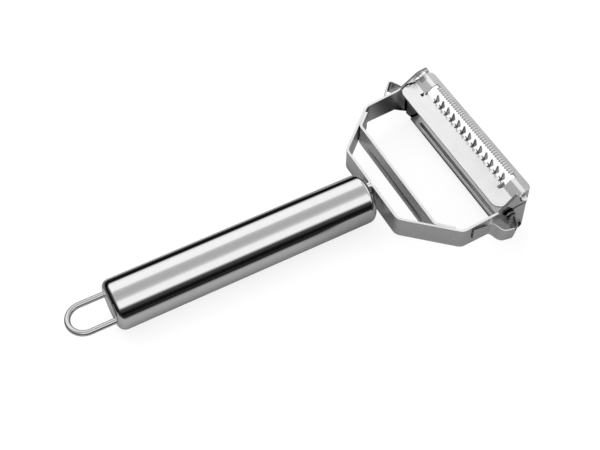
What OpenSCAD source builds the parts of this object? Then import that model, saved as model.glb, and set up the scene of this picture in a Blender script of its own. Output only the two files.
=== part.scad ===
// Double-sided vegetable peeler of bright steel, in millimetres.
// +X runs along the handle towards the blades, +Y to the left, +Z up.
// The origin is the centre of the bounding box's bottom face.

/* [Handle] */
// Length of the handle over its two end caps
handle_len = 102.7; // [90:0.1:120]
// Outside diameter of the handle
handle_dia = 19; // [17:0.1:22]
// Wall of the tube
tube_wall = 0.8; // [0.6:0.05:1.2]
// Length of each end cap
cap_len = 5; // [4.2:0.1:8]
// Rounding of the handle's two rims
rim_round = 3; // [2:0.1:3.6]
// Thickness of each cap's end plate
cap_plate = 1.2; // [0.8:0.05:2]
// Air between the front cap and the back of the frame
front_gap = 1.3; // [0.6:0.1:3]

/* [Hanging loop] */
// Diameter of the wire
wire_dia = 2.2; // [1.6:0.1:2.8]
// Distance between the middles of the two legs
leg_gap = 12; // [9.6:0.1:12.4]
// How far the loop stands out behind the rear cap
loop_reach = 16.3; // [12:0.1:24]
// Length of wire inside the handle
wire_inside = 4; // [2.2:0.1:8]
// Width of the flared ring round each leg
leg_flare = 0.5; // [0.2:0.05:0.6]

/* [Frame strip] */
// Width of the strip the frame is bent from
strip_wide = 9.2; // [8:0.1:10.4]
// Thickness of the strip
strip_thick = 1; // [0.8:0.05:1.2]
// Height of the strip's upper edge above the handle's axis
strip_top = 6.8; // [5:0.1:7]
// Width of the flat behind the blades, between its outer corners
rear_wide = 37.8; // [32:0.1:44]
// Width over the two arms
head_wide = 69.8; // [66:0.1:76]
// How far forward the arms' corners are
corner_reach = 18.3; // [16:0.1:20]
// Centre-line radius of the frame's bends
bend_round = 3.6; // [2:0.1:4.4]
// Length of the two tangs inside the handle
tang_len = 14; // [8:0.1:20]
// Air round the tangs in the front cap's slot
tang_air = 0.05; // [0.03:0.01:0.3]

/* [Arms] */
// How far forward the blades' pivot is
pivot_reach = 38.9; // [38:0.1:40]
// Height of the pivot above the handle's axis
pivot_up = 3.4; // [2.8:0.1:3.8]
// Radius of the arm round the pivot
lug_round = 2.1; // [2:0.05:2.6]
// How far the lug reaches below the handle's axis
lug_drop = 5.6; // [4.4:0.1:6.4]
// Rise of the arm's upper edge before the finger
arm_rise = 1.8; // [1:0.1:2]
// Height of the finger's tip above the strip's upper edge
finger_up = 9.2; // [8.8:0.1:9.6]
// Least width of the finger's neck
neck_wide = 0.8; // [0.7:0.05:1.1]
// How far the right finger's prong reaches in front of the pivot
prong_reach = 6; // [5.6:0.1:6.6]
// Width of the loop that closes the left finger
loop_band = 1; // [0.8:0.05:1.2]

/* [Stop flaps] */
// Where the flap bent out of each ear begins
flap_back = 42.4; // [42.2:0.1:42.8]
// Length of the flap along the arm
flap_long = 2.1; // [1.8:0.1:2.4]
// How far the left flap stands out of its ear
left_flap = 3.6; // [2:0.1:3.8]
// How far the right flap stands out of its ear
right_flap = 2.3; // [2:0.1:3.8]
// Height of the flap's top above the handle's axis
flap_up = 11.1; // [11:0.05:11.3]
// Swing of the blades each way between the finger and its prong
swing_deg = 4.5; // [3:0.5:5]

/* [Crossbar] */
// How far forward the crossbar's back is
bar_reach = 10.7; // [8:0.1:12]
// Length of the tabs along the frame's slanted sides
bar_tab = 7.5; // [5:0.1:8]
// Centre-line radius of the crossbar's bends
bar_round = 2; // [1.2:0.1:3]
// Length of the pressed rib
rib_len = 39; // [24:0.5:44]
// Width of the pressed rib
rib_wide = 2.4; // [1.6:0.1:3]
// Depth of the pressed rib
rib_deep = 0.4; // [0.2:0.05:0.5]
// How far the rib lies below the strip's middle
rib_drop = 1.9; // [0:0.1:2.4]

/* [Eye removers] */
// Thickness of their strip
eye_thick = 0.6; // [0.5:0.05:0.8]
// Width of their strip
eye_wide = 5.4; // [4.2:0.1:6]
// Forward tilt of the strip
eye_tilt = 12; // [4:0.5:14]
// Where both strips begin
eye_start = 22; // [21.2:0.1:23]
// Height of the right strip's middle where it begins
round_up = 3.8; // [3.5:0.1:4.2]
// Height of the left strip's middle where it begins
point_up = 2.5; // [2:0.1:4]
// How far the right one's round loop stands out
round_out = 5.2; // [4.6:0.1:6.2]
// Where the right strip leaves the arm
round_leaves = 30.4; // [30:0.1:31.4]
// Length of the round loop along the arm
round_long = 10.7; // [10.2:0.1:11]
// How far the left one's pointed loop stands out
point_out = 10.8; // [9:0.1:13]
// Where the left strip leaves the arm
point_leaves = 26.2; // [25:0.1:27.4]
// Where the pointed loop stands out most
point_peak = 35.8; // [34:0.1:37]
// Length of the pointed loop along the arm
point_long = 16.2; // [15:0.1:17]

/* [Shredding blade] */
// Thickness of both blades
sheet_thick = 0.6; // [0.5:0.05:0.8]
// Air between a blade's ear and the arm beside it
ear_air = 0.4; // [0.3:0.05:0.6]
// Where the guide plate begins
guide_back = 32.4; // [31:0.1:34]
// Height of the guide plate above the handle's axis
guide_up = 10; // [9.8:0.05:10.3]
// Where the guide plate is folded upwards
fold_low = 39.9; // [39.6:0.1:40.2]
// Where the raised front strip begins
fold_high = 43.6; // [43:0.1:44]
// Rise of the front strip over the guide plate
step_up = 3.3; // [3:0.05:3.6]
// How much the front strip falls towards its front edge
front_fall = 0.35; // [0:0.05:0.4]
// Where the front strip ends
front_edge = 47.4; // [47.2:0.1:49]
// Half width of the cutting window
window_half = 26.4; // [25.8:0.1:28]
// Where the window begins
window_back = 41.2; // [41:0.05:41.4]
// Where the serrated edge is
edge_at = 43.95; // [43.8:0.05:44.4]
// Depth of the serrations
serration_deep = 0.65; // [0.4:0.05:0.8]
// Number of serrations
serration_count = 40; // [24:1:48]
// Length of the flute ground behind each serration
flute_long = 2.1; // [1.4:0.1:2.2]
// Depth of the flutes at the edge
flute_deep = 0.45; // [0.2:0.05:0.5]
// Number of shredding teeth
tooth_count = 13; // [9:2:15]
// Plate left of the first tooth, from the window's end
tooth_left = 5.3; // [3:0.1:6]
// Plate right of the last tooth, from the window's end
tooth_right = 3.5; // [3:0.1:6]
// Height of the teeth above the guide plate
tooth_up = 3.4; // [2.4:0.1:3.6]
// Thickness of the teeth
tooth_thick = 0.5; // [0.4:0.05:0.8]
// Rounding of the sheet's two front corners
round_front = 2.2; // [1.5:0.1:3]
// Rounding of the sheet's two rear corners
round_back = 3.4; // [2:0.1:4]

/* [Peeling blade] */
// Where the guard bar is
bar_back = 38.7; // [38:0.1:39]
// Width of the guard bar
guard_wide = 1.2; // [0.9:0.05:1.4]
// Width of the peeling slot
slot_wide = 0.45; // [0.35:0.05:0.7]
// Half length of the peeling slot
slot_half = 28.2; // [24:0.1:29]
// Where the peeling blade ends
peel_front = 46.4; // [46.2:0.05:46.6]
// Air under the blade when the tool lies down
peel_air = 0.2; // [0.1:0.05:0.3]
// Length of the ground bevel
bevel_long = 1.2; // [0.8:0.1:1.6]
// Height of the blade's two end flanges
flange_up = 2.9; // [2.6:0.1:3.4]

/* [Rivets] */
// Radius of the pivot rivets
pin_round = 1.1; // [0.9:0.05:1.2]
// Running air round the pivot rivets
pin_air = 0.05; // [0.03:0.01:0.08]
// Radius of the pivot rivets' heads
head_round = 1.5; // [1.4:0.05:1.6]
// Thickness of the rivets' heads
head_thick = 0.4; // [0.3:0.05:0.5]
// Radius of the blade rivets
stud_round = 0.6; // [0.45:0.05:0.7]
// Radius of the blade rivets' heads
stud_head = 0.95; // [0.85:0.05:1]

/* [Hidden] */
$fn = 72;

function unit(v) = v / norm(v);
function left_of(v) = [-v[1], v[0]];
function turned(v, a) = [v[0] * cos(a) - v[1] * sin(a), v[0] * sin(a) + v[1] * cos(a)];
function arc(c, r, a, b, n) = [for (i = [0:n]) c + r * [cos(a + (b - a) * i / n), sin(a + (b - a) * i / n)]];
// Points and normals along a rounded corner at p1
function bend(p0, p1, p2, r, n) =
    let (d0 = unit(p1 - p0))
    let (d1 = unit(p2 - p1))
    let (s = d0[0] * d1[1] - d0[1] * d1[0] >= 0 ? 1 : -1)
    let (a = acos(max(-1, min(1, d0 * d1))))
    let (c = p1 - d0 * r * tan(a / 2) + left_of(d0) * r * s)
    [for (i = [0:n]) let (v = turned(left_of(d0), s * a * i / n)) [c - v * r * s, v]];
// Points and normals along an open path with one radius per inner corner
function along(p, r, n) = concat(
    [[p[0], left_of(unit(p[1] - p[0]))]],
    [for (i = [1:len(p) - 2]) each bend(p[i - 1], p[i], p[i + 1], r[i - 1], n)],
    [[p[len(p) - 1], left_of(unit(p[len(p) - 1] - p[len(p) - 2]))]]);
// Outline of a strip of thickness t along an open path
function ribbon(p, r, t, n) =
    let (s = along(p, r, n))
    concat([for (q = s) q[0] + q[1] * t / 2], [for (i = [len(s) - 1:-1:0]) s[i][0] - s[i][1] * t / 2]);
// Closed outline with one radius per corner
function rounded(p, r, n) = [for (i = [0:len(p) - 1])
    let (m = len(p))
    let (turn = bend(p[(i + m - 1) % m], p[i], p[(i + 1) % m], r[i], n))
    each (r[i] == 0 ? [p[i]] : [for (q = turn) q[0]])];

handle_r = handle_dia / 2;
// Longer than any cut
far = 4 * handle_dia;
front_x = -front_gap;
rear_x = front_x - handle_len;
loop_r = leg_gap / 2;
loop_x = rear_x - loop_reach + loop_r + wire_dia / 2;
arm_y = head_wide / 2;
ear_y = arm_y - strip_thick - ear_air;
strip_low = strip_top - strip_wide;
half_t = strip_thick / 2;

// Plan of the left half of the frame, from the tang to the end of the arm
side_x = corner_reach;
side_y = arm_y - half_t;
rear_y = rear_wide / 2 - half_t;
arm_end = [pivot_reach + handle_r, side_y];
frame_path = [[-tang_len, half_t], [half_t, half_t], [half_t, rear_y], [side_x, side_y], arm_end];
frame_plan = ribbon(frame_path, [1.1, bend_round, bend_round], strip_thick, 10);

// The crossbar's tabs lie flat on the inside of the slanted sides
slant = unit([side_x - half_t, side_y - rear_y]);
inward = [slant[1], -slant[0]];
bar_x = bar_reach + half_t;
bar_line = [half_t, rear_y] + inward * strip_thick;
bar_corner = bar_line + slant * (bar_x - bar_line[0]) / slant[0];
bar_end = bar_corner + slant * bar_tab;
bar_path = [[bar_end[0], -bar_end[1]], [bar_corner[0], -bar_corner[1]], bar_corner, bar_end];
bar_plan = ribbon(bar_path, [bar_round, bar_round], strip_thick, 8);

// Side view of an arm, with the finger above the pivot and the lug round it
px = pivot_reach;
pz = pivot_up;
neck_foot = [px - 6.2, strip_top + arm_rise];
finger_top = [px + 1.4, strip_top + finger_up];
finger_nose = [px + 1.4, finger_top[1] - 1.4];
finger_way = unit(finger_top - neck_foot);
neck_low = neck_foot - left_of(finger_way) * neck_wide + finger_way;
neck_high = neck_foot - left_of(finger_way) * neck_wide + finger_way * 4;
// The finger's notch leaves the flap its swing
function spun(p, a) = [px, pz] + turned(p - [px, pz], a);
flap_front = flap_back + flap_long;
flap_low = flap_up - sheet_thick;
wall_foot = spun([flap_back, flap_low], swing_deg + 1.5);
floor_back = spun([flap_back, flap_low], -swing_deg - 1.5);
floor_front = spun([flap_front, flap_low], -swing_deg - 1.5);
prong_end = [px + prong_reach, floor_front[1] - 0.1];
prong_low = [px + prong_reach - 0.5, prong_end[1] - 1.1];
open_finger = concat(
    [for (q = bend(neck_foot, finger_top, finger_nose, 0.5, 5)) q[0]], [finger_nose],
    [wall_foot, [wall_foot[0], floor_back[1] - 0.1], [floor_back[0], floor_back[1] - 0.1]],
    [prong_end, prong_low]);
// On the left the finger goes on as a loop round its flap
loop_front = spun([flap_front, flap_up], -swing_deg - 1.5)[0] + loop_band;
loop_back = [px + 2, finger_top[1] - 1.6];
loop_top = [px + 6.2, finger_top[1] - 0.9];
loop_nose = [loop_front, loop_top[1] - 2];
loop_low = [loop_front, prong_low[1] + 0.4];
closed_finger = concat(
    [for (q = bend(neck_foot + [0.5, 0.1], loop_back, loop_top, 4, 8)) q[0]],
    [for (q = bend(loop_back, loop_top, loop_nose, 0.7, 5)) q[0]],
    [for (q = bend(loop_top, loop_nose, loop_low, 0.8, 5)) q[0]],
    [loop_low, [loop_front - 0.7, prong_low[1]]]);
loop_slot = [
    [wall_foot[0] - 1, floor_back[1] - 0.1], [px + 0.2, floor_back[1] + 0.6],
    loop_back + [0.3, -loop_band - 0.8], loop_back + [2.2, -loop_band - 0.2], loop_top + [-1.4, -loop_band - 0.2],
    [loop_front - loop_band, loop_nose[1] + 0.1],
    [loop_front - loop_band, floor_front[1] - 0.1], [floor_back[0], floor_back[1] - 0.1]];
function arm_side(finger) = concat(
    [[-tang_len - 1, strip_top], [corner_reach, strip_top], neck_foot],
    finger,
    [[px + 1.6, prong_low[1] - 0.1], [px - 0.2, prong_low[1] - 0.5]],
    [neck_high, neck_low, [px - 4.9, pz + 4.3]],
    arc([px, pz], lug_round, 160, 0, 14),
    [for (q = bend([px + lug_round, pz], [px + 1.8, -lug_drop], [px - 1.2, -lug_drop], 1.4, 5)) q[0]],
    [[px - 1.2, -lug_drop], [px - 7.5, strip_low + 0.9]],
    [[corner_reach, strip_low], [-tang_len - 1, strip_low]]);

// Plans of the two eye removers, measured outwards from the arm's outer face
eye_t = eye_thick / 2;
round_top = round_out - eye_t;
root = [[eye_start - 2, eye_t]];
round_path = concat(root, [[round_leaves, eye_t], [round_leaves + round_long * 0.16, round_top],
    [round_leaves + round_long * 0.75, round_top + 0.3], [round_leaves + round_long, -1.2]]);
round_plan = ribbon(round_path, [1.6, 2.4, 2.6], eye_thick, 8);
point_top = point_out - eye_t + 0.7;
point_path = concat(root, [[point_leaves, eye_t], [point_peak, point_top], [point_leaves + point_long, -1]]);
point_plan = ribbon(point_path, [1.4, 1.3], eye_thick, 8);

// Side view of an ear, hanging from the front strip to the resting level
base_z = -handle_r;
lobe_r = 1.6;
lobe = [px + 6.3, base_z + lobe_r];
roof = guide_up + step_up;
ear_side = concat(
    [[fold_high, roof - 0.55], [px + 7.2, roof - front_fall - 0.15], [px + 7.4, pz]],
    [[lobe[0] + lobe_r, lobe[1] + 0.8]],
    arc(lobe, lobe_r, 0, -90, 8),
    [[px + 0.7, base_z], [px - 1.9, base_z + 3.7], [px - 2.3, pz]],
    [[px - 3.6, pz + 3.6], [px - 2.6, guide_up - 0.3], [fold_low + 0.3, guide_up - 0.2]]);

saw_margin = 1.98;
saw_pitch = 2 * (window_half - saw_margin) / serration_count;
saw_rows = [for (i = [0:serration_count - 1]) -window_half + saw_margin + saw_pitch * (i + 0.5)];
tooth_pitch = (2 * window_half - tooth_left - tooth_right) / (tooth_count - 1);
tooth_rows = [for (i = [0:tooth_count - 1]) window_half - tooth_left - i * tooth_pitch];

stud = [lobe[0], base_z + 2.05];
peel_top = base_z + peel_air + sheet_thick;
blade_edge = bar_back + guard_wide + slot_wide;

// The bounding box's bottom centre becomes the origin
low_x = rear_x - loop_reach;
high_y = arm_y + max([for (p = point_plan) p[1]]);
low_y = -arm_y - max([for (p = round_plan) p[1]]);
shift = [-(low_x + front_edge) / 2, -(low_y + high_y) / 2, handle_r];

// Extrudes a side view by t, starting at y
module side_plate(points, y, t) {
    translate([0, y + t, 0])
        rotate([90, 0, 0])
            linear_extrude(height = t)
                polygon(points);
}

// A round bar along Y
module y_rod(x, z, y, t, r) {
    translate([x, y + t, z])
        rotate([90, 0, 0])
            cylinder(h = t, r = r);
}

// Solid of revolution of a cap, closed end at x = 0, body towards +X
module cap_body() {
    rotate([0, 90, 0])
        rotate_extrude()
            polygon(concat(
                [[0, 0]],
                arc([handle_r - rim_round, rim_round], rim_round, -90, 0, 12),
                [[handle_r, cap_len], [handle_r - tube_wall, cap_len]],
                arc([handle_r - rim_round, rim_round], rim_round - tube_wall, 0, -60, 8),
                [[handle_r - rim_round, cap_plate], [0, cap_plate]]));
}

module handle_tube() {
    color("silver") translate(shift)
        difference() {
            translate([rear_x + cap_len, 0, 0])
                rotate([0, 90, 0])
                    cylinder(h = handle_len - 2 * cap_len, r = handle_r);
            translate([rear_x, 0, 0])
                rotate([0, 90, 0])
                    cylinder(h = handle_len, r = handle_r - tube_wall);
        }
}

module front_cap() {
    color("silver") translate(shift)
        difference() {
            translate([front_x, 0, 0])
                mirror([1, 0, 0])
                    cap_body();
            translate([front_x - cap_plate - 2, -strip_thick - tang_air, strip_low - tang_air])
                cube([cap_plate + 4, 2 * strip_thick + 2 * tang_air, strip_wide + 2 * tang_air]);
        }
}

module rear_cap() {
    color("silver") translate(shift)
        difference() {
            translate([rear_x, 0, 0])
                cap_body();
            for (s = [-1, 1])
                translate([rear_x - 1, s * loop_r, 0])
                    rotate([0, 90, 0])
                        cylinder(h = cap_plate + 3, r = wire_dia / 2 + 0.02);
            for (s = [-1, 1])
                translate([rear_x - 0.01, s * loop_r, 0])
                    rotate([0, 90, 0])
                        cylinder(h = 0.6, r1 = wire_dia / 2 + leg_flare, r2 = wire_dia / 2 + 0.02);
        }
}

module hanging_loop() {
    color("lightgrey") translate(shift) {
        translate([loop_x, 0, 0])
            rotate([0, 0, 90])
                rotate_extrude(angle = 180)
                    translate([loop_r, 0])
                        circle(d = wire_dia);
        for (s = [-1, 1])
            translate([loop_x, s * loop_r, 0])
                rotate([0, 90, 0])
                    cylinder(h = rear_x - loop_x + wire_inside, d = wire_dia);
    }
}

// One half of the frame; the pieces of the side view cut the plan to shape
module half_frame(finger) {
    difference() {
        intersection() {
            translate([0, 0, -far / 2])
                linear_extrude(height = far)
                    polygon(frame_plan);
            side_plate(arm_side(finger), -1, arm_y + 2);
        }
        y_rod(px, pz, arm_y - 3, 6, pin_round + pin_air);
    }
}

module left_frame() {
    color("silver") translate(shift)
        difference() {
            half_frame(closed_finger);
            side_plate(loop_slot, arm_y - 3, 6);
        }
}

module right_frame() {
    color("silver") translate(shift)
        mirror([0, 1, 0])
            half_frame(open_finger);
}

// The rib is pressed forwards from the crossbar's back
module crossbar() {
    groove = rib_wide * rib_wide / 8 / rib_deep + rib_deep / 2;
    color("silver") translate(shift)
        difference() {
            union() {
                translate([0, 0, strip_low])
                    linear_extrude(height = strip_wide)
                        polygon(bar_plan);
                intersection() {
                    rib(bar_reach + strip_thick, groove + 0.1);
                    translate([bar_reach + half_t, -rib_len / 2 - 1, strip_low + 0.5])
                        cube([3, rib_len + 2, strip_wide - 1]);
                }
            }
            rib(bar_reach, groove);
        }
}

// A round-ended bar of radius r that comes through the plane x by the rib's depth
module rib(x, r) {
    reach = (rib_len - rib_wide) / 2;
    translate([x + rib_deep - r, 0, strip_top - strip_wide / 2 - rib_drop]) {
        rotate([90, 0, 0])
            cylinder(h = 2 * reach, r = r, center = true);
        for (s = [-1, 1])
            translate([0, s * reach, 0])
                sphere(r = r);
    }
}

// A strip standing on the arm's outer face, tilted down towards the front
module eye_strip(plan, up) {
    intersection() {
        translate([eye_start, arm_y, up])
            rotate([0, eye_tilt, 0])
                translate([-eye_start, 0, -eye_wide / 2])
                    linear_extrude(height = eye_wide)
                        polygon(plan);
        translate([eye_start, arm_y, -far / 2])
            cube([far, far, far]);
    }
}

module left_eye_remover() {
    color("silver") translate(shift)
        eye_strip(point_plan, point_up);
}

module right_eye_remover() {
    color("silver") translate(shift)
        mirror([0, 1, 0])
            eye_strip(round_plan, round_up);
}

// Plan of the whole sheet with its rounded corners
module sheet_plan(x0, x1) {
    translate([0, 0, -far / 2])
        linear_extrude(height = far)
            polygon(rounded([[x0, -ear_y], [x1, -ear_y], [x1, ear_y], [x0, ear_y]],
                [round_back, round_front, round_front, round_back], 8));
}

// Guide plate, folded up at both ends of the window to the front strip
module folded_sheet() {
    t = sheet_thick / 2;
    low = guide_up - t;
    high = roof - t;
    line = [[guide_back, low], [fold_low, low], [fold_high, high], [front_edge, high - front_fall]];
    side_plate(ribbon(line, [1.6, 2.1], sheet_thick, 8), -ear_y, 2 * ear_y);
}

// The front strip's serrated edge, seen from above
module window_plan() {
    saw = [for (y = saw_rows) each [[edge_at, y - saw_pitch / 2 + 0.01], [edge_at + serration_deep, y],
        [edge_at, y + saw_pitch / 2 - 0.01]]];
    polygon(concat(
        [[window_back, -window_half], [fold_high + 1.7, -window_half], [fold_high + 1.7, -window_half + 1.7]],
        saw,
        [[fold_high + 1.7, window_half - 1.7], [fold_high + 1.7, window_half], [window_back, window_half]]));
}

// Flutes ground into the top of the front strip, deepest at its edge
module flutes() {
    fall = front_fall / (front_edge - fold_high);
    r = (saw_pitch * saw_pitch / 4 + flute_deep * flute_deep) / 2 / flute_deep;
    for (y = saw_rows)
        translate([edge_at, y, roof - fall * (edge_at - fold_high) - flute_deep])
            rotate([0, 90 - atan(flute_deep / flute_long - fall), 0])
                translate([-r, 0, -1])
                    cylinder(h = flute_long + 3, r = r, $fn = 40);
}

// Cuts at the tongue's ends, where it leaves the folds
module relief_plan() {
    w = window_half;
    polygon([[fold_low - 1.8, w + 0.9], [fold_low + 0.2, w + 1.1], [fold_low - 0.9, w - 0.5],
        [fold_low - 1.6, w - 0.6]]);
    polygon(rounded([[fold_low - 1.6, 0.1 - w], [window_back + 1, 0.1 - w], [window_back + 1, 1.9 - w],
        [fold_low - 1.6, 1.7 - w]], [0.6, 0, 0, 0.6], 4));
}

// The flat tongue of the guide plate, with a notch beside each tooth
module tongue() {
    translate([0, 0, guide_up - sheet_thick])
        linear_extrude(height = sheet_thick)
            difference() {
                translate([fold_low - 1.2, 0.1 - window_half])
                    square([window_back - fold_low + 1.2, 2 * window_half - 0.2]);
                for (y = tooth_rows)
                    translate([window_back, y + tooth_thick / 2])
                        polygon([[0.1, 0.1], [-0.4, 0.3], [0.1, 1.3]]);
            }
}

// The tongue's right end, bent down into the cut beside it
module tab() {
    y = 1.9 - window_half;
    z = guide_up;
    t = sheet_thick;
    translate([fold_low - 1.3, 0, 0])
        rotate([90, 0, 90])
            linear_extrude(height = window_back - fold_low + 2)
                polygon([[y + 0.5, z - t], [y + 0.5, z], [y, z], [y - 1.4, z - 1.7], [y - 0.9, z - 2]]);
}

// A tooth bent up from the tongue, with a small spur beside it
module tooth(y) {
    x = window_back;
    z = guide_up - sheet_thick;
    side_plate([[x - 0.7, z + 0.2], [x - 0.1, z], [x + 1.9, z], [x + 2, guide_up],
        [x + 1.25, guide_up + tooth_up - 0.1], [x + 1.05, guide_up + tooth_up],
        [x + 0.85, guide_up + tooth_up - 0.1], [x + 0.35, guide_up + 0.7], [x - 0.7, guide_up + 0.2]],
        y - tooth_thick / 2, tooth_thick);
    translate([x + 0.35, y, 0])
        rotate([90, 0, 90])
            linear_extrude(height = 0.4)
                polygon([[0, z + 0.1], [1.1, z + 0.3], [1.7, guide_up + 0.1], [1.6, guide_up + 0.4],
                    [0, guide_up + 0.5]]);
}

// One ear with its stop flap, the opening the flap was bent from and its rivet holes
module ear(flap) {
    difference() {
        side_plate(ear_side, ear_y - sheet_thick, sheet_thick);
        translate([flap_back + 0.5, ear_y - 2, flap_up - 0.01])
            cube([1.6, 4, 0.9]);
        y_rod(px, pz, ear_y - 2, 4, pin_round + pin_air);
        y_rod(stud[0], stud[1], ear_y - 2, 4, stud_round + 0.02);
        y_rod(lobe[0] - 0.4, base_z + 4.6, ear_y - 2, 4, 0.45);
    }
    low = ear_y - sheet_thick / 2;
    tip = ear_y + flap;
    translate([0, 0, flap_low])
        linear_extrude(height = sheet_thick)
            polygon(rounded([[flap_back, low], [flap_front, low], [flap_front, tip], [flap_back, tip]],
                [0, 0, 1, 0.8], 5));
}

module shredding_blade() {
    color("whitesmoke") translate(shift) {
        difference() {
            intersection() {
                union() {
                    difference() {
                        folded_sheet();
                        translate([0, 0, -far / 2])
                            linear_extrude(height = far)
                                window_plan();
                        translate([fold_low - 0.7, -window_half, -far / 2])
                            cube([window_back - fold_low + 0.8, 2 * window_half, far]);
                    }
                    tongue();
                }
                sheet_plan(guide_back, front_edge);
            }
            translate([0, 0, -far / 2])
                linear_extrude(height = far)
                    relief_plan();
            flutes();
        }
        tab();
        for (y = tooth_rows)
            tooth(y);
        ear(left_flap);
        mirror([0, 1, 0])
            ear(right_flap);
    }
}

module flange() {
    difference() {
        side_plate(rounded([[px + 4.6, peel_top - sheet_thick], [peel_front, peel_top - sheet_thick],
            [peel_front, peel_top + flange_up - sheet_thick], [px + 4.6, peel_top + flange_up - sheet_thick]],
            [0, 0, 0.8, 0.8], 4), ear_y - 2 * sheet_thick, sheet_thick);
        y_rod(stud[0], stud[1], ear_y - 3, 4, stud_round + 0.02);
    }
}

module peeling_blade() {
    y = ear_y - 2 * sheet_thick + 0.02;
    color("silver") translate(shift) {
        difference() {
            translate([bar_back, -y, peel_top - sheet_thick])
                cube([peel_front - bar_back, 2 * y, sheet_thick]);
            translate([bar_back + guard_wide, -slot_half, peel_top - 2])
                cube([slot_wide, 2 * slot_half, 4]);
            translate([blade_edge - 0.05, -slot_half, peel_top - sheet_thick + 0.12])
                rotate([0, -atan((sheet_thick - 0.12) / bevel_long), 0])
                    cube([3, 2 * slot_half, 2]);
        }
        flange();
        mirror([0, 1, 0])
            flange();
    }
}

module pivot_rivet() {
    color("lightgrey")
        difference() {
            union() {
                y_rod(px, pz, ear_y - sheet_thick - 0.15, arm_y - ear_y + sheet_thick + 0.2, pin_round);
                y_rod(px, pz, arm_y + 0.05, head_thick, head_round);
                y_rod(px, pz, ear_y - sheet_thick - 0.15 - head_thick, head_thick, head_round);
            }
            y_rod(px, pz, arm_y - 0.6, 3, pin_round * 0.6);
        }
}

module left_pivot_rivet() {
    translate(shift)
        pivot_rivet();
}

module right_pivot_rivet() {
    translate(shift)
        mirror([0, 1, 0])
            pivot_rivet();
}

module blade_rivet() {
    color("lightgrey") {
        y = ear_y - 2 * sheet_thick - head_thick;
        y_rod(stud[0], stud[1], y, 2 * sheet_thick + 2 * head_thick, stud_round);
        y_rod(stud[0], stud[1], y, head_thick, stud_head);
        y_rod(stud[0], stud[1], ear_y, head_thick, stud_head + 0.25);
    }
}

module left_blade_rivet() {
    translate(shift)
        blade_rivet();
}

module right_blade_rivet() {
    translate(shift)
        mirror([0, 1, 0])
            blade_rivet();
}

handle_tube();
front_cap();
rear_cap();
hanging_loop();
left_frame();
right_frame();
crossbar();
left_eye_remover();
right_eye_remover();
shredding_blade();
peeling_blade();
left_pivot_rivet();
right_pivot_rivet();
left_blade_rivet();
right_blade_rivet();
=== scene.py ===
import math
import bpy
from mathutils import Matrix, Vector


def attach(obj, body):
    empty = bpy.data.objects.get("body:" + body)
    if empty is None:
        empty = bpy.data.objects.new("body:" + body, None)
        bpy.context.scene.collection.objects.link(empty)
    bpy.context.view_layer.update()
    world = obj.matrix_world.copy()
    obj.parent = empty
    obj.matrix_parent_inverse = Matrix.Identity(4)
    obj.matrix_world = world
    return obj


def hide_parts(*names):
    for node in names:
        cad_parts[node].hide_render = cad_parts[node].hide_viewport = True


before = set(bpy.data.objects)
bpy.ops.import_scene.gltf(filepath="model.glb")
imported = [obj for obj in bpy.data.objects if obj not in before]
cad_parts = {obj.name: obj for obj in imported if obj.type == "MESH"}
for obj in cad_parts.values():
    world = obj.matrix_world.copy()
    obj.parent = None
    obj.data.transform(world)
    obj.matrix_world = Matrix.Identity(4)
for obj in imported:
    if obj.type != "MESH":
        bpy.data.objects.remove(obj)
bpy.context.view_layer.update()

# The frame's source measures from the back of the strip frame, on the handle's axis, in millimetres
mm = 0.001
sourceOrigin = Vector((36.45, -2.559, 9.5)) * mm


def clearSelection():
    active = bpy.context.view_layer.objects.active
    if active and active.mode != "OBJECT":
        bpy.ops.object.mode_set(mode="OBJECT")
    bpy.ops.object.select_all(action="DESELECT")


def pick(piece):
    clearSelection()
    piece.select_set(True)
    bpy.context.view_layer.objects.active = piece


def finishModifier(piece, kind, **values):
    modifier = piece.modifiers.new(kind.lower(), kind)
    for key, value in values.items():
        setattr(modifier, key, value)
    pick(piece)
    bpy.ops.object.modifier_apply(modifier=modifier.name)


# A copy of a frame node with its triangles merged to clean faces
mergePlan = dict(weld=0.002, flatAngle=0.6)


def cleanCopy(node, name):
    piece = bpy.data.objects.new(name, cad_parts[node].data.copy())
    bpy.context.scene.collection.objects.link(piece)
    pick(piece)
    if piece.data.has_custom_normals:
        bpy.ops.mesh.customdata_custom_splitnormals_clear()
    bpy.ops.object.mode_set(mode="EDIT")
    bpy.ops.mesh.select_mode(type="VERT")
    bpy.ops.mesh.select_all(action="SELECT")
    bpy.ops.mesh.remove_doubles(threshold=mergePlan["weld"] * mm)
    bpy.ops.mesh.dissolve_limited(angle_limit=math.radians(mergePlan["flatAngle"]))
    bpy.ops.object.mode_set(mode="OBJECT")
    return piece


# Rounds every edge that turns by more than corner, in degrees, with a bevel as wide as width, in millimetres
def roundAllEdges(piece, width, steps, corner):
    finishModifier(piece, "BEVEL", width=width * mm, segments=steps,
                   limit_method="ANGLE", angle_limit=math.radians(corner), use_clamp_overlap=True)


# The same for the edges that keep() accepts, by the places of their two ends in the source's millimetres
def roundSomeEdges(piece, width, steps, corner, keep=None):
    pick(piece)
    bpy.ops.object.mode_set(mode="EDIT")
    bpy.ops.mesh.select_mode(type="EDGE")
    bpy.ops.mesh.select_all(action="DESELECT")
    bpy.ops.mesh.edges_select_sharp(sharpness=math.radians(corner))
    bpy.ops.object.mode_set(mode="OBJECT")
    if keep:
        places = [(v.co - sourceOrigin) / mm for v in piece.data.vertices]
        for edge in piece.data.edges:
            if edge.select and not keep(places[edge.vertices[0]], places[edge.vertices[1]]):
                edge.select = False
    bpy.ops.object.mode_set(mode="EDIT")
    bpy.ops.mesh.bevel(offset=width * mm, segments=steps, affect="EDGES", clamp_overlap=True)
    bpy.ops.object.mode_set(mode="OBJECT")


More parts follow.
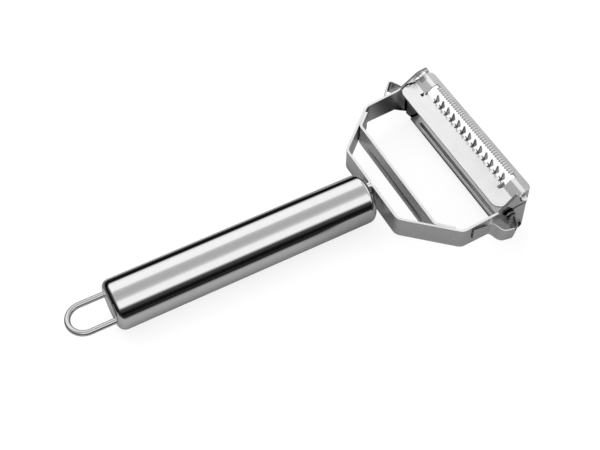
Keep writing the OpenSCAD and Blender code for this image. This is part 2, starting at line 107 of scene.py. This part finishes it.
# Smooth faces whose flats stay flat beside the rounded edges
def smoothFaces(piece, angle):
    pick(piece)
    bpy.ops.object.shade_smooth_by_angle(angle=math.radians(angle))
    finishModifier(piece, "WEIGHTED_NORMAL", mode="FACE_AREA", weight=80, keep_sharp=True)


def dress(piece, body, slot, material, *nodes):
    piece.data.materials.clear()
    piece.data.materials.append(material)
    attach(piece, body)
    if nodes:
        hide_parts(*nodes)


def newMaterial(name):
    material = bpy.data.materials.new(name)
    material.use_nodes = True
    return material, material.node_tree.nodes, material.node_tree.links


# Small steps in one node tree: a soft ramp, a sum or the like of two values, a mix of two values or colours,
# and a number, colour or link put into a socket
def nodeTools(tree):
    nodes, links = tree.nodes, tree.links

    def feed(socket, value):
        if isinstance(value, (int, float, tuple)):
            socket.default_value = value
        else:
            links.new(value, socket)

    def step(value, low, high, start=0.0, end=1.0):
        node = nodes.new("ShaderNodeMapRange")
        node.interpolation_type = "SMOOTHSTEP"
        keys = ("Value", "From Min", "From Max", "To Min", "To Max")
        for key, number in zip(keys, (value, low, high, start, end)):
            feed(node.inputs[key], number)
        return node.outputs["Result"]

    def combine(operation, first, second=0.0):
        node = nodes.new("ShaderNodeMath")
        node.operation = operation
        feed(node.inputs[0], first)
        feed(node.inputs[1], second)
        return node.outputs[0]

    def blend(factor, first, second, kind="FLOAT"):
        node = nodes.new("ShaderNodeMix")
        node.data_type = kind
        for key, value in (("Factor", factor), ("A", first), ("B", second)):
            feed(node.inputs[key], value)
        return node.outputs["Result"]

    return step, combine, blend, feed


def newGroup(name, inputs, outputs):
    tree = bpy.data.node_groups.new(name, "ShaderNodeTree")
    for key, (kind, value) in inputs.items():
        socket = tree.interface.new_socket(key, in_out="INPUT", socket_type="NodeSocket" + kind)
        if value is not None:
            socket.default_value = value
    for key in outputs:
        tree.interface.new_socket(key, in_out="OUTPUT", socket_type="NodeSocketFloat")
    return tree, tree.nodes.new("NodeGroupInput").outputs, tree.nodes.new("NodeGroupOutput").inputs


def groupNode(nodes, group, **values):
    node = nodes.new("ShaderNodeGroup")
    node.node_tree = group
    for key, value in values.items():
        node.inputs[key].default_value = value
    return node


# Fine lines left by grinding or rolling, long in one direction
grindPlan = dict(detail=3, roughness=0.65, broad=0.18)


def buildGrindLines():
    inputs = dict(Place=("Vector", None), Stretch=("Vector", (1, 1, 1)), Fineness=("Float", 1))
    tree, entry, out = newGroup("grindLines", inputs, ["Lines", "Broad"])
    nodes, links = tree.nodes, tree.links
    combine = nodeTools(tree)[1]
    grow = nodes.new("ShaderNodeVectorMath")
    grow.operation = "MULTIPLY"
    links.new(entry["Place"], grow.inputs[0])
    links.new(entry["Stretch"], grow.inputs[1])
    for socket, factor in (("Lines", 1.0), ("Broad", grindPlan["broad"])):
        noise = nodes.new("ShaderNodeTexNoise")
        noise.inputs["Detail"].default_value = grindPlan["detail"]
        noise.inputs["Roughness"].default_value = grindPlan["roughness"]
        links.new(combine("MULTIPLY", entry["Fineness"], factor), noise.inputs["Scale"])
        links.new(grow.outputs[0], noise.inputs["Vector"])
        links.new(noise.outputs["Fac"], out[socket])
    return tree


# Soft patches where hands and cloths have rubbed the steel
rubPlan = dict(detail=4, roughness=0.55, low=0.3, high=0.7)


def buildRubbedPatches():
    inputs = dict(Place=("Vector", None), Size=("Float", 60), Low=("Float", 0), High=("Float", 1))
    tree, entry, out = newGroup("rubbedPatches", inputs, ["Value"])
    nodes, links = tree.nodes, tree.links
    noise, spread = nodes.new("ShaderNodeTexNoise"), nodes.new("ShaderNodeMapRange")
    noise.inputs["Detail"].default_value = rubPlan["detail"]
    noise.inputs["Roughness"].default_value = rubPlan["roughness"]
    spread.inputs["From Min"].default_value = rubPlan["low"]
    spread.inputs["From Max"].default_value = rubPlan["high"]
    links.new(entry["Place"], noise.inputs["Vector"])
    links.new(entry["Size"], noise.inputs["Scale"])
    links.new(noise.outputs["Fac"], spread.inputs["Value"])
    links.new(entry["Low"], spread.inputs["To Min"])
    links.new(entry["High"], spread.inputs["To Max"])
    links.new(spread.outputs["Result"], out["Value"])
    return tree


# Ramps of a mark: it grows from none to full, or falls from full to none, from the first number to the second
def above(low, high):
    return [(low, high, 0.0, 1.0)]


def below(low, high):
    return [(low, high, 1.0, 0.0)]


def between(growFrom, growTo, fallFrom, fallTo):
    return above(growFrom, growTo) + below(fallFrom, fallTo)


# Marks on the steel, each made of one or more spots, in the source's millimetres.
# aside is the distance from the middle plane. lean, side and up say how far a face looks forwards, sideways and up.
# ring is the distance from a line along Y, slope a slanted plane, row the distance to the nearest of a row along Y
pivotAt, studAt, toolingHoleAt = dict(x=38.9, z=3.4), dict(x=45.2, z=-7.45), dict(x=44.8, z=-4.9)
earInside = dict(aside=between(32.2, 32.8, 33.05, 33.1), z=below(9.2, 9.6))
earOutside = dict(aside=between(33.05, 33.1, 33.6, 33.7), z=below(9.2, 9.6))
fingerEdge = dict(z=above(8.8, 9.6), side=below(0.3, 0.6))
guardPart = dict(y=below(22.0, 24.5))
markPlan = {
    # Painted shade on the ears, on the arms beside them and round the pivots, where the gaps and recesses lie in shade
    "earShade": [
        dict(earInside, strength=0.93, lean=above(-0.8, -0.6), slope=dict(x=1.0, z=0.587, level=below(39.2, 40.0))),
        dict(earInside, ring=dict(x=42.9, z=2.2, reach=below(2.2, 3.0))),
        dict(earOutside, x=below(40.5, 41.8)),
        dict(earOutside, slope=dict(x=-0.13, z=1.0, level=above(-0.7, 0.0)))],
    "armShade": [dict(aside=between(33.6, 33.7, 34.1, 34.2), x=above(30.5, 33.5), z=below(8.2, 9.2))],
    "pivotRings": [dict(ring=dict(pivotAt, reach=below(0.4, 0.6))), dict(ring=dict(pivotAt, reach=above(1.15, 1.35)))],
    "pivotRim": [dict(aside=above(34.7, 34.8), ring=dict(pivotAt, reach=below(1.9, 2.2)))],
    # Painted shade in the tooling holes above the blade rivets; the blade rivets and the steel round them are darkened
    # too
    "studRings": [
        dict(aside=above(33.3, 33.4), ring=dict(studAt, reach=below(1.2, 1.5))),
        dict(aside=above(33.3, 33.4), ring=dict(toolingHoleAt, reach=below(0.7, 0.9)))],
    # The back of the left half darkens towards its lower edge
    "backDarkening": [dict(lean=below(-0.95, -0.85), x=below(0.8, 1.2), y=above(1.0, 3.0), z=below(-7.5, 4.0))],
    # Painted shade along the lower side of the crossbar's rib
    "ribFoot": [
        dict(z=between(-1.0, 0.3, 0.5, 1.6), lean=below(-0.6, -0.3), x=between(8.5, 9.5, 12.5, 13.5),
             aside=below(15.0, 21.0))],
    # Painted shade on both fingers' tops, and more so on the left one's top and end
    "fingerEdgeShade": [
        dict(fingerEdge, strength=0.6, lean=below(-0.5, -0.3)),
        dict(fingerEdge, lean=below(-0.26, -0.14), y=above(0.0, 1.0)),
        dict(fingerEdge, x=above(39.5, 41.0), y=above(0.0, 1.0))],
    # Upper edges of the arms, rubbed bright
    "brightEdge": [dict(up=above(0.96, 0.98), x=above(12.0, 16.0), y=above(-35.2, -35.0))],
    # The round loop: its sheared upper edge is white and matt, the inside of its front is out of the light
    "loopEdge": [dict(up=above(0.8, 0.9), x=above(29.5, 32.0), y=below(-35.2, -35.0))],
    "loopInside": [dict(lean=below(-0.5, -0.1), up=below(0.2, 0.4), y=below(-35.5, -35.2), x=above(37.5, 38.5))],
    # Painted shade on the cut rear end of the right eye remover, and along the seam where its upper edge meets the arm
    "stripEnd": [
        dict(lean=below(-0.6, -0.3), x=below(28.0, 28.3), y=below(-35.0, -34.9)),
        dict(up=above(0.5, 0.7), x=below(26.5, 31.0), y=below(-35.0, -34.9))],
    # Painted shade on the crests between the flutes of the front strip, and the rough walls of its serrations
    "combCrests": [
        dict(row=dict(start=0.0, half=0.6105, gap=below(0.1, 0.34)), x=between(44.1, 44.7, 45.4, 46.4),
             z=above(12.4, 12.6), aside=below(24.5, 24.8))],
    "combWalls": [dict(up=below(0.3, 0.6), x=between(43.6, 43.8, 44.6, 44.8), z=above(12.4, 12.6))],
    # Painted shade on the sloping and rear faces of the teeth and their spurs, and every other tooth darker, except
    # towards the right end of the row
    "toothFaceShade": [
        dict(row=dict(start=21.8, half=1.8333, gap=below(0.95, 1.03)), aside=below(26.2, 26.3),
             x=between(40.4, 40.5, 41.8, 41.9), z=between(9.4, 9.5, 10.7, 10.9), up=below(0.97, 0.99)),
        dict(aside=below(26.2, 26.3), lean=below(-0.6, -0.4), z=above(10.1, 10.2), x=above(41.0, 41.1))],
    "oddTeeth": [
        dict(row=dict(start=21.1, half=3.6667, gap=above(2.4, 2.6)), z=above(10.0, 10.2),
             x=between(41.2, 41.3, 43.4, 43.5), y=above(-12.0, -9.0))],
    # Painted shade on the walls of the cut at the tongue's left end
    "reliefWalls": [
        dict(up=below(0.4, 0.6), x=between(37.3, 37.5, 40.8, 41.0), y=between(25.4, 25.6, 28.5, 28.7),
             z=above(9.0, 9.2))],
    # The peeling blade's guard bar and its rear edge are darker than its ground top
    "guardBar": [
        dict(guardPart, strength=0.3, x=below(39.9, 40.2)),
        dict(guardPart, lean=below(-0.6, -0.3)),
        dict(guardPart, x=below(38.95, 39.2))],
    "bladeTeeth": [dict(row=dict(start=0.0, half=0.39, gap=above(0.12, 0.27)), x=between(40.1, 40.3, 41.2, 41.8))],
    # The grinding is coarse and pale beside the slot towards the right
    "coarseGround": [dict(x=between(40.1, 40.4, 41.1, 41.4), y=below(-14.0, -3.0))],
    # The rounded rim of the rear cap is darker on its upper side
    "capRim": [
        dict(lean=between(-0.97, -0.9, -0.45, -0.3), y=above(-9.0, -5.0), z=above(-4.0, 0.0),
             x=below(-90.0, -85.0))],
}


# A mask over the tool, from the place of a point and the way that its face looks
def maskGroup(name, spots):
    tree, entry, out = newGroup(name, dict(Place=("Vector", None), Facing=("Vector", None)), ["Mask"])
    step, combine = nodeTools(tree)[:2]
    inSource = tree.nodes.new("ShaderNodeVectorMath")
    inSource.operation = "MULTIPLY_ADD"
    inSource.inputs[1].default_value = (1 / mm,) * 3
    inSource.inputs[2].default_value = tuple(-sourceOrigin / mm)
    place, facing = tree.nodes.new("ShaderNodeSeparateXYZ"), tree.nodes.new("ShaderNodeSeparateXYZ")
    tree.links.new(entry["Place"], inSource.inputs[0])
    tree.links.new(inSource.outputs[0], place.inputs[0])
    tree.links.new(entry["Facing"], facing.inputs[0])
    x, y, z = (place.outputs[axis] for axis in "XYZ")
    plain = dict(x=x, y=y, z=z, aside=combine("ABSOLUTE", y), lean=facing.outputs["X"],
                 side=combine("ABSOLUTE", facing.outputs["Y"]), up=facing.outputs["Z"])

    def measured(kind, plan):
        if kind == "ring":
            along, rise = combine("ADD", x, -plan["x"]), combine("ADD", z, -plan["z"])
            squares = combine("ADD", combine("MULTIPLY", along, along), combine("MULTIPLY", rise, rise))
            return combine("SQRT", squares), plan["reach"]
        if kind == "slope":
            level = combine("ADD", combine("MULTIPLY", x, plan["x"]), combine("MULTIPLY", z, plan["z"]))
            return level, plan["level"]
        if kind == "row":
            return combine("PINGPONG", combine("ADD", y, -plan["start"]), plan["half"]), plan["gap"]
        return plain[kind], plan

    mask = 0.0
    for spot in spots:
        cover = spot.get("strength", 1.0)
        for kind, plan in spot.items():
            if kind != "strength":
                value, ramps = measured(kind, plan)
                for ramp in ramps:
                    cover = combine("MULTIPLY", cover, step(value, *ramp))
        mask = combine("MAXIMUM", mask, cover)
    tree.links.new(mask, out["Mask"])
    return tree


print("stage: steel finishes")
grindLines = buildGrindLines()
rubbedPatches = buildRubbedPatches()
marks = {name: maskGroup(name, spots) for name, spots in markPlan.items()}
# The dark colour that the darkening marks blend towards, most of them as painted shade
grimeAndShade = (0.02, 0.02, 0.021, 1)


# stretch is the number of noise cells per metre on each axis, relief the height of the lines in metres, patch the
# number of rubbed patches per metre. The darkening marks darken the steel by so much, most of them as painted
# shade; those in rough and metal bring its roughness and its metallic value to that number
def steel(name, color, shadeSpread, roughness, stretch, relief, patch, wornAndShaded=None, rough=None, metal=None):
    material, nodes, links = newMaterial(name)
    combine, blend, feed = nodeTools(material.node_tree)[1:]
    shader = nodes["Principled BSDF"]
    coordinates = nodes.new("ShaderNodeTexCoord").outputs
    lines = groupNode(nodes, grindLines, Stretch=stretch, Fineness=1)
    rubbed = groupNode(nodes, rubbedPatches, Size=patch, Low=roughness[0], High=roughness[1])
    links.new(coordinates["Object"], lines.inputs["Place"])
    links.new(coordinates["Object"], rubbed.inputs["Place"])

    def maskOf(mark):
        node = groupNode(nodes, marks[mark])
        links.new(coordinates["Object"], node.inputs["Place"])
        links.new(coordinates["Normal"], node.inputs["Facing"])
        return node.outputs["Mask"]

    dim = (*[c * (1 - shadeSpread) for c in color], 1)
    pale = (*[min(1, c * (1 + shadeSpread)) for c in color], 1)
    shade = blend(lines.outputs["Broad"], dim, pale, "RGBA")
    for mark, depth in (wornAndShaded or {}).items():
        shade = blend(combine("MULTIPLY", maskOf(mark), depth), shade, grimeAndShade, "RGBA")
    links.new(shade, shader.inputs["Base Color"])
    matte = rubbed.outputs["Value"]
    for mark, amount in (rough or {}).items():
        matte = blend(maskOf(mark), matte, amount)
    links.new(matte, shader.inputs["Roughness"])
    metallic = 1.0
    for mark, amount in (metal or {}).items():
        metallic = blend(maskOf(mark), metallic, amount)
    feed(shader.inputs["Metallic"], metallic)
    bump = nodes.new("ShaderNodeBump")
    bump.inputs["Strength"].default_value = 1
    bump.inputs["Distance"].default_value = relief
    links.new(lines.outputs["Lines"], bump.inputs["Height"])
    links.new(bump.outputs["Normal"], shader.inputs["Normal"])
    return material


finishes = {
    "polished": dict(color=(0.88, 0.88, 0.885), shadeSpread=0.03, roughness=(0.04, 0.075),
                     stretch=(3000, 120, 120), relief=0.0000006, patch=45, wornAndShaded=dict(capRim=0.75)),
    "wire": dict(color=(0.74, 0.74, 0.745), shadeSpread=0.05, roughness=(0.06, 0.1),
                 stretch=(200, 1500, 1500), relief=0.000001, patch=120),
    "strip": dict(color=(0.84, 0.84, 0.845), shadeSpread=0.05, roughness=(0.2, 0.3),
                  stretch=(200, 200, 2400), relief=0.0000008, patch=140,
                  wornAndShaded=dict(armShade=0.74, backDarkening=0.6, fingerEdgeShade=0.75, loopInside=0.6, stripEnd=0.97, ribFoot=0.8,
                            pivotRim=0.75),
                  rough=dict(brightEdge=0.1, loopEdge=0.5), metal=dict(loopEdge=0.1)),
    "blade": dict(color=(0.87, 0.87, 0.875), shadeSpread=0.04, roughness=(0.16, 0.24),
                  stretch=(2400, 160, 2400), relief=0.0000006, patch=120,
                  wornAndShaded=dict(earShade=0.97, combCrests=0.45, toothFaceShade=0.88, oddTeeth=0.45, reliefWalls=0.97,
                            studRings=0.9),
                  rough=dict(combWalls=0.6), metal=dict(combWalls=0.35)),
    "ground": dict(color=(0.56, 0.56, 0.565), shadeSpread=0.05, roughness=(0.3, 0.38),
                   stretch=(1800, 240, 2600), relief=0.0000012, patch=120,
                   wornAndShaded=dict(guardBar=0.75, bladeTeeth=0.3), metal=dict(coarseGround=0.6)),
    "rivet": dict(color=(0.8, 0.8, 0.81), shadeSpread=0.06, roughness=(0.2, 0.32),
                  stretch=(2500, 2500, 2500), relief=0.000002, patch=400,
                  wornAndShaded=dict(pivotRings=0.9, studRings=0.85)),
}
steels = {name: steel(name + "Steel", **plan) for name, plan in finishes.items()}

print("stage: frame strips and eye removers")
# edge is how wide a rounded edge is in millimetres; edges and faces that turn by more than corner and smooth,
# in degrees, are rounded and left sharp
stripPlan = dict(steps=3, corner=35, smooth=32)
stripPieces = {
    "leftFrame": dict(node="left_frame", edge=0.22),
    "rightFrame": dict(node="right_frame", edge=0.22),
    "crossBar": dict(node="crossbar", edge=0.2),
    "pointedEyeRemover": dict(node="left_eye_remover", edge=0.14),
    "roundEyeRemover": dict(node="right_eye_remover", edge=0.1),
}
for name, part in stripPieces.items():
    piece = cleanCopy(part["node"], name)
    roundAllEdges(piece, part["edge"], stripPlan["steps"], stripPlan["corner"])
    smoothFaces(piece, stripPlan["smooth"])
    dress(piece, "frame", "frame_strip", steels["strip"], part["node"])

print("stage: blades")
# The window and its teeth keep their ground edges; the sheet's outline is rounded
sheetPlan = dict(edge=0.16, steps=2, corner=28, smooth=16, windowHalf=27.8, windowBack=38.0, windowFront=46.5)
bladePlan = dict(edge=0.08, steps=2, corner=28, smooth=16)


def onOutline(*ends):
    return not any(abs(end.y) < sheetPlan["windowHalf"] and sheetPlan["windowBack"] < end.x < sheetPlan["windowFront"]
                   for end in ends)


for node, name, plan, keep, material in (
        ("shredding_blade", "shreddingSheet", sheetPlan, onOutline, steels["blade"]),
        ("peeling_blade", "slottedBlade", bladePlan, None, steels["ground"])):
    sheet = cleanCopy(node, name)
    roundSomeEdges(sheet, plan["edge"], plan["steps"], plan["corner"], keep)
    smoothFaces(sheet, plan["smooth"])
    dress(sheet, "blade_unit", "blade_steel", material, node)

print("stage: handle, caps and loop")
plainNodes = dict(handle_tube="polished", front_cap="polished", rear_cap="polished", hanging_loop="wire")
for node, finish in plainNodes.items():
    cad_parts[node].data.materials.clear()
    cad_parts[node].data.materials.append(steels[finish])

print("stage: rivets")
rivetPlan = dict(edge=0.1, steps=2, corner=35, smooth=35)
for node, name, body in (
        ("left_pivot_rivet", "leftPivotRivet", "frame"), ("right_pivot_rivet", "rightPivotRivet", "frame"),
        ("left_blade_rivet", "leftBladeRivet", "blade_unit"), ("right_blade_rivet", "rightBladeRivet", "blade_unit")):
    rivet = cleanCopy(node, name)
    roundAllEdges(rivet, rivetPlan["edge"], rivetPlan["steps"], rivetPlan["corner"])
    smoothFaces(rivet, rivetPlan["smooth"])
    dress(rivet, body, "rivet", steels["rivet"], node)

print("stage: floor")
# The floor is white to the camera, and to the steel a grey table with a dark card along each side, with painted shadow
# that makes the table darker under the head and nearly black under the blades.
# Lengths are in metres: two numbers give where a change starts and ends
floorPlan = dict(half=1.6, drop=0.0002, light=0.785, lit=0.28, table=0.42, headTable=0.33, underBlades=0.045, card=0.02,
                 tableChange=(0.0, 0.03), cardEdges=(0.041, 0.075), cardEdgeChange=(0.02, 0.05),
                 cardFade=(-0.008, 0.03), bladesBack=(0.058, 0.073), bladesFront=(0.083, 0.088),
                 bladesSide=(0.035, 0.04))
clearSelection()
bpy.ops.mesh.primitive_plane_add(size=2 * floorPlan["half"], location=(0, 0, -floorPlan["drop"]))
floor = bpy.context.object
floor.name = "floor"
pick(floor)
bpy.ops.object.transform_apply(location=True, rotation=True, scale=True)
floorPaint, nodes, links = newMaterial("floorPaint")
nodes.remove(nodes["Principled BSDF"])
step, combine, blend = nodeTools(floorPaint.node_tree)[:3]
path, place = nodes.new("ShaderNodeLightPath"), nodes.new("ShaderNodeSeparateXYZ")
links.new(nodes.new("ShaderNodeTexCoord").outputs["Object"], place.inputs[0])
along, across = place.outputs["X"], combine("ABSOLUTE", place.outputs["Y"])
cardEdge = step(along, *floorPlan["cardEdgeChange"], *floorPlan["cardEdges"])
# Painted shadow for the steel's reflections: the table darkens under the head and turns nearly black under the blades
tableTone = step(along, *floorPlan["tableChange"], floorPlan["table"], floorPlan["headTable"])
fromBack, toFront = step(along, *floorPlan["bladesBack"]), step(along, *floorPlan["bladesFront"], 1.0, 0.0)
underHead = combine("MULTIPLY", fromBack, toFront)
underBlades = combine("MULTIPLY", underHead, step(across, *floorPlan["bladesSide"], 1.0, 0.0))
underTone = step(underBlades, 0.0, 1.0, tableTone, floorPlan["underBlades"])
cards = step(combine("SUBTRACT", across, cardEdge), *floorPlan["cardFade"], underTone, floorPlan["card"])
matte, glow = nodes.new("ShaderNodeBsdfDiffuse"), nodes.new("ShaderNodeEmission")
both = nodes.new("ShaderNodeAddShader")
glow.inputs["Strength"].default_value = 1
shown = blend(path.outputs["Is Camera Ray"], (0, 0, 0, 1), (*[floorPlan["light"]] * 3, 1), "RGBA")
plain = blend(path.outputs["Is Glossy Ray"], (*[floorPlan["lit"]] * 3, 1), cards, "RGBA")
links.new(shown, glow.inputs["Color"])
links.new(plain, matte.inputs["Color"])
links.new(glow.outputs[0], both.inputs[0])
links.new(matte.outputs[0], both.inputs[1])
links.new(both.outputs[0], nodes["Material Output"].inputs["Surface"])
floor.data.materials.append(floorPaint)

print("stage: room")
# The room is white to the camera. The steel sees two long white panels, a grey ceiling and a dark horizon.
# Bands are pairs of an angle in degrees and a brightness: over the room from right to left, and up from the
# horizon to the ceiling behind the handle and in front of the head
roomPlan = dict(
    plainLight=0.9, rearChange=(-0.76, -0.35), frontChange=(0.49, 0.56),
    across=[(0, 0.004), (12, 0.006), (16, 0.03), (27, 0.06), (31, 0.25), (35, 0.75), (40, 1.0), (60, 0.98), (66, 0.78),
            (72, 0.55), (78, 0.48), (90, 0.45), (103, 0.49), (109, 0.58), (113, 0.78), (117, 1.0), (140, 1.03),
            (150, 0.97), (155, 0.88), (159, 0.68), (163, 0.22), (166, 0.04), (170, 0.004), (180, 0.002)],
    rear=[(0, 0.01), (20, 0.03), (28, 0.07), (32, 0.13), (34, 0.22), (36.5, 0.44), (40, 0.5), (60, 0.55), (90, 0.45)],
    front=[(0, 0.02), (10, 0.05), (20, 0.2), (28, 0.7), (33, 1.0), (39, 1.0), (43, 0.5), (46, 0.42), (53, 0.42),
           (57, 0.7), (60, 1.0), (90, 0.9)])
world = bpy.data.worlds.new("room")
bpy.context.scene.world = world
world.use_nodes = True
nodes, links = world.node_tree.nodes, world.node_tree.links
step, combine, blend = nodeTools(world.node_tree)[:3]
path, way = nodes.new("ShaderNodeLightPath"), nodes.new("ShaderNodeSeparateXYZ")
links.new(nodes.new("ShaderNodeTexCoord").outputs["Generated"], way.inputs[0])
wayX, wayY, wayZ = (way.outputs[axis] for axis in "XYZ")


def bandCurve(value, bands):
    span = bands[-1][0]
    node = nodes.new("ShaderNodeFloatCurve")
    curve = node.mapping.curves[0]
    node.mapping.use_clip = False
    points = [(angle / span, level) for angle, level in bands]
    curve.points[0].location, curve.points[1].location = points[0], points[-1]
    for point in points[1:-1]:
        curve.points.new(*point)
    for point in curve.points:
        point.handle_type = "VECTOR"
    node.mapping.update()
    links.new(combine("DIVIDE", value, math.radians(span)), node.inputs["Value"])
    return node.outputs[0]


acrossShade = bandCurve(combine("ARCTAN2", wayZ, combine("MULTIPLY", wayY, -1.0)), roomPlan["across"])
height = combine("ARCTAN2", wayZ, combine("ABSOLUTE", wayX))
rearSide = step(wayX, *roomPlan["rearChange"], 1.0, 0.0)
frontSide = step(wayX, *roomPlan["frontChange"])
withRear = blend(rearSide, acrossShade, bandCurve(height, roomPlan["rear"]))
seen = blend(frontSide, withRear, bandCurve(height, roomPlan["front"]))
plainShade = blend(path.outputs["Is Glossy Ray"], roomPlan["plainLight"], seen)
back = nodes["Background"]
back.inputs["Strength"].default_value = 1
links.new(blend(path.outputs["Is Camera Ray"], plainShade, 1.0), back.inputs["Color"])

print("stage: lamp and camera")
lampPlan = dict(place=(-0.1, 0.35, 0.55), size=0.5, energy=0.9)
bpy.ops.object.light_add(type="AREA", location=lampPlan["place"])
lamp = bpy.context.object
lamp.name = "softLamp"
lamp.data.shape = "SQUARE"
lamp.data.size = lampPlan["size"]
lamp.data.energy = lampPlan["energy"]
lamp.rotation_euler = (-Vector(lampPlan["place"])).to_track_quat("-Z", "Y").to_euler()
lamp.visible_glossy = False

# Angles are in degrees, the place in millimetres
cameraPlan = dict(azimuth=-27.397, elevation=53.616, roll=-0.693, place=(-94.05, -197.46, 307.6), lens=60.65,
                  sensor=36, nearest=0.01)
azimuth, elevation, roll = (math.radians(cameraPlan[key]) for key in ("azimuth", "elevation", "roll"))
level = Vector((math.cos(azimuth), math.sin(azimuth), 0))
backwards = Vector((math.sin(azimuth) * math.cos(elevation), -math.cos(azimuth) * math.cos(elevation),
                    math.sin(elevation)))
upright = backwards.cross(level)
right = level * math.cos(roll) + upright * math.sin(roll)
upwards = upright * math.cos(roll) - level * math.sin(roll)
turn = Matrix((right, upwards, backwards)).transposed().to_4x4()
bpy.ops.object.camera_add()
camera = bpy.context.object
camera.data.lens = cameraPlan["lens"]
camera.data.sensor_width = cameraPlan["sensor"]
camera.data.clip_start = cameraPlan["nearest"]
camera.matrix_world = Matrix.Translation(Vector(cameraPlan["place"]) * mm) @ turn
bpy.context.scene.camera = camera
bpy.context.scene.view_settings.view_transform = "Standard"

bpy.context.view_layer.update()
print("stage: finish")
